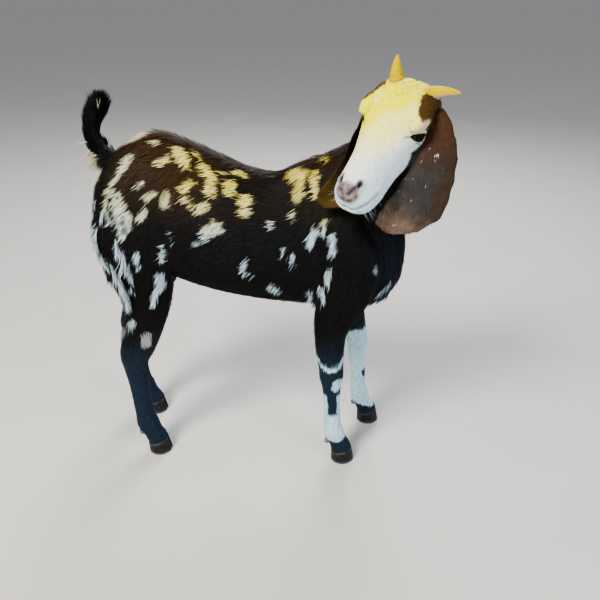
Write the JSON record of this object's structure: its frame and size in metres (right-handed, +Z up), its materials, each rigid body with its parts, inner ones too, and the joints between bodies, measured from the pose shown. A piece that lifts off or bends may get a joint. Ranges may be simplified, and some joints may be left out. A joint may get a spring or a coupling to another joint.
{
  "type": "gujri goat",
  "caption": "Still, life-size model of a standing young long-eared goat, its head turned back over its right shoulder, that rests on its hooves on a floor.",
  "frame": {"origin": "on the floor under the middle of the bounding box", "axes": "+X the way the body faces, +Y the goat's left, +Z up"},
  "size_m": [0.6041, 0.2848, 0.7546],
  "materials": {
    "coat_body": "black coat with cream and white tufts",
    "coat_head": "short white hair, yellow on the brow",
    "coat_tail": "long black hair",
    "coat_legs": "short black and white hair",
    "ear": "soft skin with short brown hair",
    "hoof": "dull horn",
    "horn": "dull horn, yellow",
    "eye": "wet and glossy"
  },
  "bodies": {
    "root": {"torso": "coat_body", "neck": "coat_body", "head": "coat_head", "tail": "coat_tail", "ear_left": "ear", "ear_right": "ear", "eye_left": "eye", "eye_right": "eye", "horn_left": "horn", "horn_right": "horn", "foreleg_right_upper": "coat_legs", "foreleg_right_lower": "coat_legs", "foreleg_right_claw_outer": "hoof", "foreleg_right_dewclaw_outer": "hoof", "foreleg_right_claw_inner": "hoof", "foreleg_right_dewclaw_inner": "hoof", "foreleg_left_upper": "coat_legs", "foreleg_left_lower": "coat_legs", "foreleg_left_claw_outer": "hoof", "foreleg_left_dewclaw_outer": "hoof", "foreleg_left_claw_inner": "hoof", "foreleg_left_dewclaw_inner": "hoof", "hindleg_right_upper": "coat_legs", "hindleg_right_lower": "coat_legs", "hindleg_right_claw_outer": "hoof", "hindleg_right_dewclaw_outer": "hoof", "hindleg_right_claw_inner": "hoof", "hindleg_right_dewclaw_inner": "hoof", "hindleg_left_upper": "coat_legs", "hindleg_left_lower": "coat_legs", "hindleg_left_claw_outer": "hoof", "hindleg_left_dewclaw_outer": "hoof", "hindleg_left_claw_inner": "hoof", "hindleg_left_dewclaw_inner": "hoof"}
  },
  "joints": []
}
